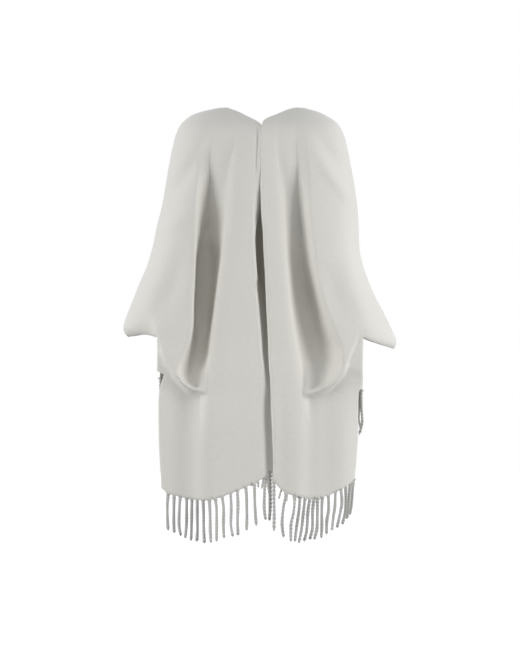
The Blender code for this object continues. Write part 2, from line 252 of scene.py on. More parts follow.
@dataclass(frozen=True)
class GarmentShape:
    """What all the panels share: their levels, sections, edges, folds and wings.

    Attributes:
        section_power: how square a level section is, 2 for an ellipse.
        edge_band: how wide the first stretch of columns is, beside the slit.
        roll_width: the least width over which the inner edge rolls; roll_share is that width by the roll.
        rise_width: how soon the centre panel's proud edge falls off inwards; proud_width, outwards.
        lip: how proud the ridge past the fold stands, as a share of the fold.
        lip_power: how near the ridge the fold's own wall rises to it.
        cleft_power: how sharply the slit's turned edge begins.
        rim_ease: the drop over which the fold ends at its rim.
        outline_fade: how soon the wing's outline is left behind below the cuff; turn_fade, the arm line.
        curl_ease: the drop over which the side edge begins to curl; curl_band, the share that curls.
        low_start: the drop from which waves and steps rise, over low_length.
        bend_start: the drop from which the wing's levels bend to its lower edge.
    """

    wall: float = 2.4
    cuff_drop: float = 520
    hem_drop: float = 880
    section_power: float = 3.0
    edge_band: float = 26
    roll_width: float = 5
    roll_share: float = 1.15
    rise_width: float = 17
    proud_width: float = 24
    floor_softness: float = 0.06
    wing_pinch: float = 0.42
    pinch_start: float = 130
    pinch_length: float = 390
    lip: float = 0.045
    lip_width: float = 30
    lip_power: int = 10
    cleft_power: int = 3
    rim_ease: float = 11
    outline_fade: float = 60
    turn_fade: float = 130
    curl_ease: float = 60
    curl_band: float = 0.15
    low_start: float = 560
    low_length: float = 160
    bend_start: float = 440


# The rims of the swags under the arms, from the side inwards: out, drop
RIM_LEFT = (
    (222, 552), (212, 576), (201, 592), (188, 611), (175, 625), (163, 633), (148, 639), (134, 643), (118, 646)
)
RIM_RIGHT = ((190, 584), (184, 598), (167, 618), (147, 634), (123, 643), (101, 650), (90, 653))

FRONT_LEFT = PanelShape(
    sections=(
        # drop, inner, panel, floor, ridge, side, outer, depth, fold, rise, roll
        (0, 80, 80, 80, 80, 80, 80, 0, 0, 0, 0),
        (1.2, 76, 78, 82, 86, 92, 99, 15, 0, 0, 0),
        (5, 68, 74, 80, 88, 103, 116, 30, 0, 0, 0),
        (11, 53, 64, 78, 94, 119, 141, 44, 0, 0, 0),
        (24, 29, 54, 80, 104, 138, 168, 62, 0, 0, 0),
        (31, 15, 51, 84, 112, 144, 176, 70, 0, 0, 0),
        (38, 4, 50, 88, 120, 148, 182, 80, 1, -2, 0),
        (50, -5, 52, 94, 128, 154, 190, 91, 3, -4, 1),
        (73, -5, 56, 104, 136, 162, 197, 103, 8, -8, 3),
        (95, -4, 61, 112, 140, 167, 203, 110, 16, -12, 6),
        (118, 0, 66, 114, 142, 170, 208, 115, 26, -14, 3),
        (141, 1, 70, 115, 143, 173, 212, 119, 30, -16, 4),
        (175, 1, 72, 116, 144, 176, 217, 122, 40, -17, 5),
        (209, 2, 73, 117, 146, 182, 223, 126, 54, -17, 6),
        (255, 8, 75, 119, 147, 189, 233, 129, 72, -17, 7),
        (282, 13, 79, 121, 147, 194, 239, 131, 86, -17, 6),
        (300, 14, 82, 122, 147, 197, 244, 132, 86, -17, 5),
        (323, 13, 85, 124, 148, 200, 250, 132, 96, -17, 5),
        (391, 8, 95, 131, 150, 212, 271, 134, 108, -17, 5),
        (436, -6, 101, 135, 152, 219, 289, 135, 106, -17, 3),
        (493, -13, 109, 138, 154, 227, 311, 135, 94, -17, 4),
        (520, -14, 112, 142, 160, 230, 300, 135, 82, -17, 8),
        (550, -15, 115, 145, 172, 230, 300, 136, 72, -17, 13),
        (575, -17, 118, 149, 184, 230, 300, 137, 64, -16, 15),
        (596, -18, 120, 154, 188, 231, 298, 137, 54, -15, 17),
        (604, -18, 121, 157, 186, 214, 296, 137, 50, -15, 18),
        (618, -19, 122, 161, 182, 219, 296, 136, 42, -14, 19),
        (632, -19, 123, 160, 178, 223, 298, 135, 31, -12, 20),
        (650, -20, 126, 157, 178, 226, 304, 134, 18, -10, 24),
        (670, -20, 130, 157, 178, 227, 310, 133, 0, -5, 27),
        (755, -23, 134, 152, 175, 226, 324, 130, 0, 0, 29),
        (880, -27, 134, 150, 172, 220, 328, 126, 0, 0, 29),
    ),
    walls=(
        # drop, slope from the panel, wall from the ridge, round, panel tuck, ridge tuck
        (0, 1.1, 1.1, 1.3, 0, 0), (164, 0.95, 1.1, 1.2, 0, 0), (209, 0.95, 1.2, 1.1, 0, 0),
        (255, 1.05, 1.5, 1.0, 0, 0), (282, 1.1, 1.8, 1, 0, 0), (310, 1.4, 2.6, 1, 0, 3),
        (350, 2.4, 5, 1, 2, 7), (436, 3.2, 5, 1, 4, 9), (490, 2.8, 3.0, 1, 4, 5), (520, 2.2, 1.7, 1, 3, 1),
        (550, 2.0, 1.5, 1.0, 2, 0), (575, 1.6, 1.5, 1.0, 1, 0), (604, 1.2, 1.8, 1.0, 0, 0),
        (650, 1.2, 1.2, 1.2, 0, 0), (880, 1.2, 1.2, 1.2, 0, 0),
    ),
    hem=(
        (-40, 803), (-25, 816), (-10, 831), (15, 846), (34, 855), (68, 869), (102, 881), (130, 885),
        (155, 884), (181, 878), (208, 871), (216, 865), (240, 850),
    ),
    hem_start=659,
    creases=(
        # The rim under the arm, and the recess beneath it
        Crease(RIM_LEFT, 15, 60, 4, 0, 0.15, 118),
        Crease(RIM_LEFT, 6, 5, 3.5, 0, 0.15, 124),
        Crease(RIM_LEFT, -22, 4, 58, -6, 0.2, 122),
        # The groove beside the slit's upper end
        Crease(((6, 30), (7, 60), (9, 104), (11, 140), (12, 176)), -4.5, 3.5, 3.5, 0, 0.8),
        # Soft folds across the upper arm
        Crease(((130, 96), (165, 150), (198, 196), (216, 216)), -8, 18, 16, 0, 0.6),
        Crease(((150, 236), (186, 256), (226, 262)), 8, 20, 18, 0, 0.6),
        Crease(((170, 330), (215, 440), (250, 480)), -9, 26, 26, 0, 0.6),
        Crease(((306, 520), (272, 520), (236, 524)), -11, 38, 38, 0, 0.4),
    ),
    waves=((196, 200, 20, 3), (40, 44, 60, -4)),
    steps=((142, 138, 22, 29),),
    cleft=(
        (0, 0, 6), (135, 0, 8), (175, 5, 11), (209, 10, 13), (255, 11, 8), (282, 0, 4), (391, 0, 4),
        (400, 25, 4), (414, 50, 7), (436, 62, 10.5), (482, 80, 11), (520, 80, 10), (571, 80, 8.5),
        (600, 66, 6.5), (630, 40, 4), (661, 16, 3), (737, 8, 2.5), (880, 6, 2.5),
    ),
    rim=((100, 648), (134, 644), (148, 640), (163, 633), (175, 624), (188, 609), (201, 589)),
)

FRONT_RIGHT = PanelShape(
    sections=(
        (0, 82, 82, 82, 82, 82, 82, 0, 0, 0, 0),
        (1.2, 78, 80, 83, 86, 92, 97, 15, 0, 0, 0),
        (4, 67, 72, 78, 86, 99, 109, 27, 0, 0, 0),
        (9, 54, 62, 74, 88, 110, 127, 40, 0, 0, 0),
        (18, 36, 50, 70, 92, 122, 147, 55, 0, 0, 0),
        (25, 18, 43, 70, 95, 130, 158, 65, 0, 0, 0),
        (30, 9, 39, 71, 97, 135, 166, 72, 0, -1, 0),
        (39, 3, 36, 73, 100, 141, 175, 84, 1, -3, 0),
        (50, 2, 36, 75, 102, 147, 183, 94, 3, -5, 0),
        (73, 1, 37, 79, 104, 154, 191, 105, 8, -8, 0),
        (95, 0, 38, 81, 106, 159, 197, 112, 15, -10, 0),
        (118, -1, 39, 84, 108, 162, 201, 116, 16, -12, 0),
        (141, 0, 41, 84, 111, 165, 205, 120, 22, -14, 3),
        (175, -1, 44, 84, 111, 170, 211, 123, 31, -16, 6),
        (209, 0, 47, 85, 112, 174, 216, 127, 41, -17, 8),
        (255, 2, 49, 86, 114, 181, 221, 130, 50, -17, 6),
        (282, 5, 51, 88, 117, 185, 224, 132, 56, -17, 4),
        (323, 6, 53, 90, 122, 192, 231, 134, 64, -17, 4),
        (368, 9, 57, 95, 128, 200, 241, 136, 76, -17, 5),
        (414, 11, 61, 104, 136, 207, 254, 137, 88, -17, 5),
        (436, 12, 63, 109, 142, 211, 262, 137, 92, -17, 5),
        (482, 14, 69, 119, 159, 219, 285, 138, 88, -17, 6),
        (520, 16, 75, 123, 174, 226, 309, 138, 82, -17, 6),
        (550, 17, 80, 127, 184, 225, 302, 139, 74, -17, 6),
        (573, 18, 84, 130, 184, 225, 300, 140, 64, -16, 6),
        (595, 19, 87, 132, 180, 225, 296, 140, 52, -15, 6),
        (618, 22, 89, 132, 170, 226, 290, 139, 39, -13, 6),
        (634, 23, 91, 129, 162, 226, 286, 137, 28, -10, 6),
        (640, 23, 92, 129, 160, 218, 284, 137, 22, -9, 6),
        (655, 24, 93, 129, 156, 216, 280, 136, 13, -7, 6),
        (672, 24, 95, 129, 156, 216, 280, 135, 0, -3, 6),
        (755, 26, 98, 130, 158, 216, 280, 132, 0, 0, 6),
        (845, 28, 98, 128, 154, 211, 276, 128, 0, 0, 4),
        (880, 28, 98, 128, 154, 209, 274, 127, 0, 0, 3),
    ),
    walls=(
        (0, 1.0, 1.1, 1.5, 0, 0), (209, 1.0, 1.1, 1.4, 0, 0), (282, 1.2, 1.2, 1.3, 0, 0),
        (414, 1.6, 1.3, 1.3, 2, 0), (482, 1.6, 1.1, 1.2, 2, 0), (520, 1.6, 1.3, 1.1, 2, 0),
        (560, 1.6, 1.4, 1.0, 1, 0), (618, 1.2, 1.4, 1.0, 0, 0), (880, 1.0, 1.1, 1.2, 0, 0),
    ),
    hem=(
        (20, 828), (27, 836), (40, 855), (58, 869), (88, 877), (110, 882), (127, 881), (151, 874),
        (179, 862), (201, 849), (209, 841), (225, 825),
    ),
    hem_start=659,
    creases=(
        Crease(RIM_RIGHT, 15, 60, 4, 0, 0.15, 92),
        Crease(RIM_RIGHT, 6, 5, 3.5, 0, 0.15, 96),
        Crease(RIM_RIGHT, -12, 4, 46, -6, 0.4, 92),
        Crease(((186, 112), (196, 150), (204, 190), (212, 226)), -4, 3, 3, 0, 0.6),
        Crease(((104, 84), (150, 150), (190, 200), (206, 230)), 7, 12, 16, 0, 0.6),
        Crease(((120, 60), (172, 130), (200, 172)), -6, 16, 16, 0, 0.6),
        Crease(((140, 350), (160, 420), (184, 480)), -10, 30, 30, 0, 0.6),
    ),
    waves=((48, 46, 16, -5), (150, 150, 22, -3)),
    steps=((98, 96, 19, 23), (208, 200, 16, 9)),
    rim=((80, 655), (101, 651), (123, 643), (147, 633), (167, 616), (184, 594), (194, 573)),
)

SWAG_BACK = ((226, 566), (206, 596), (170, 624), (124, 640))

BACK = PanelShape(
    sections=(
        (0, 81, 81, 81, 81, 81, 81, 0, 0, 0, 0),
        (1.2, 78, 81, 82, 84, 91, 98, 13, 0, 0, 0),
        (5, 71, 77, 80, 84, 101, 116, 26, 0, 0, 0),
        (16, 50, 64, 73, 82, 122, 152, 47, 0, 0, 0),
        (26, 33, 55, 68, 82, 134, 168, 61, 0, 0, 0),
        (33, 15, 48, 66, 83, 140, 176, 66, 0, 0, 0),
        (37, 0, 44, 64, 84, 142, 178, 70, 0, 0, 0),
        (73, 0, 46, 67, 88, 155, 194, 88, 0, 0, 0),
        (130, 0, 52, 74, 96, 166, 206, 106, 4, 0, 0),
        (209, 0, 62, 85, 108, 178, 220, 117, 14, 1, 0),
        (282, 0, 72, 96, 120, 190, 232, 120, 24, 2, 0),
        (361, 0, 82, 107, 132, 203, 249, 121, 32, 3, 0),
        (436, 0, 90, 115, 140, 216, 276, 121, 36, 4, 0),
        (493, 0, 96, 121, 146, 227, 301, 120, 34, 5, 0),
        (520, 0, 99, 124, 150, 231, 305, 120, 30, 5, 0),
        (550, 0, 101, 127, 154, 224, 230, 120, 24, 6, 0),
        (580, 0, 103, 130, 157, 223, 229, 120, 18, 6, 0),
        (610, 0, 104, 131, 159, 223, 229, 120, 14, 6, 0),
        (650, 0, 105, 132, 160, 225, 231, 120, 10, 6, 0),
        (700, 0, 106, 134, 162, 230, 236, 121, 6, 6, 0),
        (880, 0, 108, 136, 164, 232, 237, 122, 0, 6, 0),
    ),
    walls=((0, 1.4, 1.6, 1.6, 0, 0), (436, 1.6, 2.0, 1.4, 0, 0), (880, 1.4, 1.6, 1.6, 0, 0)),
    hem=(
        (-238, 606), (-230, 617), (-216, 640), (-190, 680), (-150, 712), (-110, 736), (-60, 756), (0, 774),
        (43, 800), (80, 800), (110, 790), (150, 768), (190, 726), (206, 686), (217, 658), (232, 643),
    ),
    hem_start=520,
    creases=(
        Crease(((58, 120), (66, 260), (82, 420), (92, 600)), -8, 20, 20, 0, 0.6),
        Crease(((112, 150), (128, 300), (144, 440), (150, 560)), 8, 16, 26, 0, 0.6),
        Crease(((146, 200), (172, 330), (196, 450)), -7, 18, 18, 0, 0.6),
        Crease(((20, 300), (28, 450), (34, 640)), 5, 20, 20, 0, 0.6),
        Crease(SWAG_BACK, 7, 7, 20),
        Crease(SWAG_BACK, -10, 14, 14, 22),
    ),
    waves=((0, 0, 46, -9), (96, 104, 30, 8), (160, 170, 28, -7), (212, 222, 20, 6)),
    curl=4,
)

# Levels, with the place of the cuff among them: a row of cloth each
UPPER_LEVELS = np.concatenate(
    [[0, 0.5, 1.2, 2.4], np.linspace(4, 37, 14), np.linspace(42, 120, 14), np.linspace(127, 520, 58)]
)
FRONT_LEVELS = np.concatenate([UPPER_LEVELS, np.linspace(524, 676, 39), np.linspace(684, 880, 25)])
BACK_LEVELS = np.concatenate([UPPER_LEVELS, np.linspace(528, 880, 46)])
# Columns over the inner edge, the centre panel, the deep fold, the stretch to the body's side, and the wing
FRONT_COLUMNS = (15, 14, 47, 20, 14)
BACK_COLUMNS = (5, 12, 18, 14, 16)
# How much cloth a turn of one radian is spaced as, and the sharpest turn that counts
LIP_SPACING = 14.0
SHARPEST_TURN = 0.4
# Points of each stretch before it is respaced, and the least width of a stretch
FINE_POINTS = 121
LEAST_WIDTH = 1e-3
# Rounds of softening, and the first row that they move
SOFTENING = 2
FIRST_SOFT_ROW = 3


@dataclass
class ClothGrid:
    """The middle of the cloth, a row for each level and a column for each line down it.

    Its weave says where each point lies on the flat cloth, and its cells which squares are cloth.
    """

    points: np.ndarray
    weave: np.ndarray
    cells: np.ndarray
    body_columns: int


@dataclass(frozen=True)
class Drape:
    """Works out how one panel hangs on its side of the middle line."""

    shape: GarmentShape
    panel: PanelShape
    side: Side
    face: Face

    def section_lines(self, drop: np.ndarray) -> list[np.ndarray]:
        """The named sizes of each level section, with the wing's own outline down to the cuff.

        Args:
            drop: a column of levels.

        Returns:
            Inner, panel, floor, ridge, side, outer, depth, fold, rise and roll, a column each.
        """
        lines = [read_column(self.panel.sections, k, drop) for k in range(1, 11)]
        cuff = self.shape.cuff_drop
        outline = OUTLINES[self.side]
        step = read_column(outline, 1, cuff) - read_column(self.panel.sections, 6, cuff)
        below = np.clip(drop - cuff, 0, None)
        fading = lines[5] + step * np.exp(-below / self.shape.outline_fade)
        lines[5] = np.where(below > 0, fading, read_column(outline, 1, drop))
        return lines

    def level_curves(
        self, drop: np.ndarray, columns: tuple[int, ...]
    ) -> tuple[np.ndarray, np.ndarray, np.ndarray]:
        """Each level's curve before its creases, with its points evenly spaced between the named lines.

        Args:
            drop: a column of levels.
            columns: how many steps each stretch takes.

        Returns:
            Out, forward and the share of the way to the outer edge, a row for each level.
        """
        shape = self.shape
        inner, lip, floor, ridge, body_side, outer, depth, fold, rise, roll = self.section_lines(drop)
        walls, clefts = self.panel.walls, self.panel.cleft
        slope, wall, rounding, tuck_in, tuck_out = (read_column(walls, k, drop) for k in range(1, 6))
        cleft, cleft_width = (read_column(clefts, k, drop) for k in (1, 2))
        above = drop <= shape.cuff_drop
        span = np.maximum(outer - inner, LEAST_WIDTH)
        power = shape.section_power
        fine = np.linspace(0, 1, FINE_POINTS)
        edge = np.minimum(inner + shape.edge_band, (inner + lip) / 2)
        outs, forwards = [], []
        for start, end in ((inner, edge), (edge, lip), (lip, ridge), (ridge, body_side)):
            outs.append(start + (end - start) * fine)
        start_angle = np.arcsin(np.clip((body_side - inner) / span, 0, 1) ** (power / 2))
        angle = start_angle + (math.pi / 2 - start_angle) * fine
        outs.append(inner + span * np.sin(angle) ** (2 / power))
        for out in outs:
            across = np.clip((out - inner) / span, 0, 1)
            forwards.append(depth * np.sqrt(np.clip(1 - across**power, 0, 1)))
        pinched = np.clip((drop - shape.pinch_start) / shape.pinch_length, 0, 1)
        pinch = shape.wing_pinch * pinched * fine**2 * (3 - 2 * fine)
        forwards[4] = forwards[4] * (1 - pinch * above)
        width = np.maximum(shape.roll_width, shape.roll_share * roll)
        for k in (0, 1):
            forwards[k] += rise * np.exp(-np.clip(lip - outs[k], 0, None) / shape.rise_width)
            forwards[k] -= roll * np.clip(1 - (outs[k] - inner) / width, 0, 1) ** 2
            turned = np.exp(-(((outs[k] - inner) / cleft_width) ** shape.cleft_power))
            forwards[k] -= cleft * turned
        inward = np.clip((outs[2] - lip) / np.maximum(floor - lip, LEAST_WIDTH), 0, 1)
        outward = np.clip((ridge - outs[2]) / np.maximum(ridge - floor, LEAST_WIDTH), 0, 1)
        inward, outward = 1 - (1 - inward) ** slope, 1 - (1 - outward**rounding) ** wall
        down = (inward + outward - np.sqrt((inward - outward) ** 2 + shape.floor_softness)) / 2
        rim = smooth_between(*np.array(self.panel.rim, float).T, outs[2])
        left = np.clip((rim - drop) / shape.rim_ease, 0, 1)
        forwards[2] -= fold * np.clip(down, 0, 1) * left * left * (3 - 2 * left)
        for k in (2, 3):
            forwards[k] += rise * np.exp(-(((outs[k] - lip) / shape.proud_width) ** 2))
        outs[2] = outs[2] - tuck_in * self.bulge(fine * 2) + tuck_out * self.bulge(2 - fine * 2)
        for k in (3, 4):
            proud = np.exp(-(((outs[k] - ridge) / shape.lip_width) ** 2))
            forwards[k] += shape.lip * fold * proud
        forwards[2] += shape.lip * fold * fine**shape.lip_power
        below = np.clip((drop - shape.cuff_drop) / shape.curl_ease, 0, 1)
        for k in (2, 3):
            across = np.clip((outs[k] - inner) / span, 0, 1)
            curled = np.clip((across - (1 - shape.curl_band)) / shape.curl_band, 0, 1) ** 2
            outs[k] -= self.panel.curl * below * curled
        even = [self.evenly(out, forward, count) for out, forward, count in zip(outs, forwards, columns)]
        out = np.concatenate([e[0][:, :-1] for e in even[:4]] + [even[4][0]], axis=1)
        forward = np.concatenate([e[1][:, :-1] for e in even[:4]] + [even[4][1]], axis=1)
        return out, forward, np.clip((out - inner) / span, 0, 1)

    @staticmethod
    def bulge(share: np.ndarray) -> np.ndarray:
        """A smooth hump over shares from 0 to 1, and nothing outside them.

        Args:
            share: how far along the hump each place lies.

        Returns:
            Its height there, 1 in the middle.
        """
        return np.where((share > 0) & (share < 1), np.sin(np.pi * np.clip(share, 0, 1)) ** 2, 0.0)

    @staticmethod
    def evenly(out: np.ndarray, forward: np.ndarray, count: int) -> tuple[np.ndarray, np.ndarray]:
        """Respaces each level's curve so that its steps are of one length, and shorter where it bends.

        Args:
            out: the curve's distances out, a row for each level.
            forward: its distances forward.
            count: how many steps to make.

        Returns:
            Out and forward at the even steps.
        """
        rows = out.shape[0]
        even_out, even_forward = np.empty((rows, count + 1)), np.empty((rows, count + 1))
        for r in range(rows):
            steps = np.hypot(np.diff(out[r]), np.diff(forward[r])) + TINY
            heading = np.unwrap(np.arctan2(np.diff(forward[r]), np.diff(out[r])))
            turn = np.abs(np.gradient(heading))
            steps += LIP_SPACING * np.minimum(turn, SHARPEST_TURN)
            length = np.concatenate([[0], np.cumsum(steps)])
            marks = np.linspace(0, length[-1], count + 1)
            even_out[r] = np.interp(marks, length, out[r])
            even_forward[r] = np.interp(marks, length, forward[r])
        return even_out, even_forward

    def grid(self, levels: np.ndarray, columns: tuple[int, ...]) -> ClothGrid:
        """The panel's cloth.

        Args:
            levels: the drops of its rows.
            columns: how many steps each stretch takes.

        Returns:
            Its grid of points in millimetres. The wing's columns end at its cuff.
        """
        shape = self.shape
        drop = levels[:, None]
        body = sum(columns[:4])
        above = drop <= shape.cuff_drop
        out, forward, across = self.level_curves(drop, columns)
        forward = soften(forward, SOFTENING, axis=1)
        out = soften(out, SOFTENING, axis=1)
        low = np.clip((drop - shape.low_start) / shape.low_length, 0, 1)
        for place_top, place_hem, half, stand in self.panel.waves:
            place = place_top + (place_hem - place_top) * low
            forward = forward + stand * low * np.exp(-(((out - place) / half) ** 2))
        for place_top, place_hem, half, fall in self.panel.steps:
            place = place_top + (place_hem - place_top) * low
            forward = forward - fall / 2 * low * np.tanh((out - place) / half)
        signed = self.side.value * out if self.face is Face.BACK else out
        hem = smooth_between(*np.array(self.panel.hem, float).T, signed)
        bend = np.clip((drop - self.panel.hem_start) / (shape.hem_drop - self.panel.hem_start), 0, 1)
        real_drop = drop + bend * (hem - shape.hem_drop)
        for crease in self.panel.creases:
            forward = forward + crease.push(out, real_drop)
        wing = np.arange(out.shape[1]) >= body
        lower = np.clip((drop - shape.bend_start) / (shape.cuff_drop - shape.bend_start), 0, 1)
        cuff = smooth_between(*np.array(CUFFS[self.side], float).T, out)
        real_drop = real_drop + wing * above * lower * (cuff - shape.cuff_drop)
        turn = read_column(OUTLINES[self.side], 2, drop)
        turn = turn * np.exp(-np.clip(drop - shape.cuff_drop, 0, None) / shape.turn_fade)
        forward[:, -1:] = np.where(above, 0.0, forward[:, -1:])
        forward[0] = 0
        place = self.face.value * forward - turn * across**2
        points = np.stack([self.side.value * out, place, -real_drop], axis=-1)
        for area in (np.s_[FIRST_SOFT_ROW:, :body], np.s_[FIRST_SOFT_ROW : int(above.sum()), body:]):
            points[area] = soften(points[area], SOFTENING, axis=0)
        cells = np.ones((len(levels) - 1, out.shape[1] - 1), bool)
        cells[levels[:-1] >= shape.cuff_drop, body:] = False
        return ClothGrid(points, self.weave(points), cells, body)

    def weave(self, points: np.ndarray) -> np.ndarray:
        """Where each point lies on the flat cloth.

        Args:
            points: the cloth's points.

        Returns:
            Distances along the weft (x) and, below nought, along the warp (z), in millimetres.
        """
        along = np.linalg.norm(np.diff(points, axis=1), axis=2).mean(axis=0)
        weft = self.side.value * np.concatenate([[0], np.cumsum(along)]) + np.zeros(points.shape[:2])
        warp = np.zeros(points.shape[:2])
        warp[1:] = -np.cumsum(np.linalg.norm(np.diff(points, axis=0), axis=2), axis=0)
        return np.stack([weft, np.zeros_like(weft), warp], axis=-1)


@dataclass
class Shell:
    """A closed wall of cloth made from welded grids.

    Attributes:
        edge: how far its edges round out.
        middle_reach: how near the middle line a point is welded to the other half's.
        known: the number of each point, by its place where it can be welded.
    """

    wall: float
    edge: float = 1.0
    middle_reach: float = 0.01
    points: list[np.ndarray] = field(default_factory=list)
    weave: list[np.ndarray] = field(default_factory=list)
    faces: list[list[int]] = field(default_factory=list)
    known: dict[tuple, int] = field(default_factory=dict)

    def add(self, grid: ClothGrid, outward: int) -> None:
        """Adds a grid, welded to what is there wherever their points meet.

        Args:
            grid: the grid.
            outward: 1 where the grid's rows and columns run the right way round for a face seen from outside.
        """
        rows, columns = grid.points.shape[:2]
        numbers = np.full((rows, columns), -1)
        used = np.zeros((rows, columns), bool)
        for r, c in np.argwhere(grid.cells):
            used[r : r + 2, c : c + 2] = True
        for r, c in np.argwhere(used):
            place = grid.points[r, c]
            edge = r == 0 or c == columns - 1 or abs(place[0]) < self.middle_reach
            key = tuple(np.round(place, 2)) if edge else (len(self.points), "own")
            if key not in self.known:
                self.known[key] = len(self.points)
                self.points.append(place)
                self.weave.append(grid.weave[r, c])
            numbers[r, c] = self.known[key]
        for r, c in np.argwhere(grid.cells):
            loop = [numbers[r, c], numbers[r, c + 1], numbers[r + 1, c + 1], numbers[r + 1, c]]
            loop = [int(k) for n, k in enumerate(loop) if k != loop[n - 1]]
            if len(loop) > 2:
                self.faces.append(loop[::-1] if outward > 0 else loop)

    def normals(self, points: np.ndarray) -> np.ndarray:
        """Which way the cloth faces at each point.

        Args:
            points: the points of its middle.

        Returns:
            A direction of length 1 for each.
        """
        normal = np.zeros_like(points)
        for face in self.faces:
            a, b, c = points[face[0]], points[face[1]], points[face[2]]
            d = points[face[-1]]
            turn = np.cross(c - a, d - b) if len(face) == 4 else np.cross(b - a, c - a)
            normal[face] += turn
        return normal / np.maximum(np.linalg.norm(normal, axis=1, keepdims=True), TINY)

    def build(self, name: str, material: bpy.types.Material) -> bpy.types.Object:
        """Makes the wall's object.

        Args:
            name: its name.
            material: its finish.

        Returns:
            The object, with its two faces and its rounded edges closed.
        """
        points = np.array(self.points)
        normal = self.normals(points)
        count = len(points)
        directed = {(a, b) for face in self.faces for a, b in zip(face, face[1:] + face[:1])}
        rim = [(a, b) for a, b in directed if (b, a) not in directed]
        reach = np.zeros_like(points)
        for a, b in rim:
            along = points[b] - points[a]
            away = np.cross(along, normal[a] + normal[b])
            reach[[a, b]] += away / max(np.linalg.norm(away), TINY)
        edge_points = sorted({k for pair in rim for k in pair})
        middle = {k: 2 * count + n for n, k in enumerate(edge_points)}
        reach = reach[edge_points]
        reach /= np.maximum(np.linalg.norm(reach, axis=1, keepdims=True), TINY)
        edge = points[edge_points] + reach * self.edge
        offset = normal * self.wall / 2
        everything = np.concatenate([points + offset, points - offset, edge]) * MM
        faces = list(self.faces) + [[k + count for k in face[::-1]] for face in self.faces]
        for a, b in rim:
            faces.append([b, a, middle[a], middle[b]])
            faces.append([middle[b], middle[a], a + count, b + count])
        mesh = bpy.data.meshes.new(name)
        mesh.from_pydata(everything.tolist(), [], faces)
        form = bmesh.new()
        form.from_mesh(mesh)
        bmesh.ops.recalc_face_normals(form, faces=form.faces)
        form.to_mesh(mesh)
        form.free()
        weave = np.array(self.weave)
        laid = np.concatenate([weave, weave, weave[edge_points]]) * MM
        mesh.attributes.new("weave", "FLOAT_VECTOR", "POINT").data.foreach_set("vector", laid.ravel())
        mesh.shade_smooth()
        mesh.materials.append(material)
        thing = bpy.data.objects.new(name, mesh)
        bpy.context.scene.collection.objects.link(thing)
        return thing


STRANDS_LEFT = (
    # Out at the root, its sway to the right at the three marks after the root, and its length
    (208, -2.5, -2.2, -0.7, 82), (195, -0.7, -1.0, 0.0, 85), (181, -2.3, -3.0, 0.7, 87),
    (167, 0.0, -0.5, -3.0, 88), (155, -0.5, -1.0, -2.0, 91), (143, 0.0, 0.5, -1.0, 93),
    (130, 1.4, 1.8, 3.2, 95), (116, 2.0, 2.5, 4.0, 94), (102, 3.0, 3.0, 2.7, 94), (87, 3.5, 3.0, 4.3, 93),
    (68, 1.4, 0.7, 4.8, 96), (53, 1.6, 0.7, 1.8, 98), (34, 2.0, 2.5, 2.0, 95), (15, 1.0, 2.3, 4.3, 94),
    (-10, -2.0, -3.0, 0.0, 97), (-20, 0.5, 0.5, -1.0, 108),
)

STRANDS_RIGHT = (
    (29, 0.0, 0.5, 0.0, 112), (58, -8.0, -11.0, -7.7, 98), (76, -2.7, -9.5, -9.3, 101),
    (88, -3.2, -8.4, -12.0, 98), (99, -4.0, -8.0, -14.0, 99), (110, -5.0, -7.0, -13.0, 95),
    (119, -3.2, -3.5, -9.5, 91), (127, -0.5, -1.0, -6.8, 91), (138, -1.6, -1.4, -2.5, 90),
    (151, 1.0, -3.4, -4.0, 88), (167, -1.0, -5.0, -8.0, 85), (179, 2.7, -2.5, -8.0, 84),
    (190, 1.0, -1.0, -6.6, 83), (201, -2.5, -5.5, -7.7, 79), (208, -2.0, -4.5, -8.0, 77),
)


@dataclass(frozen=True)
class Strand:
    """Where a strand starts, how far right it lies at each sway mark after that, and its length."""

    root: np.ndarray
    sway: Row
    length: float


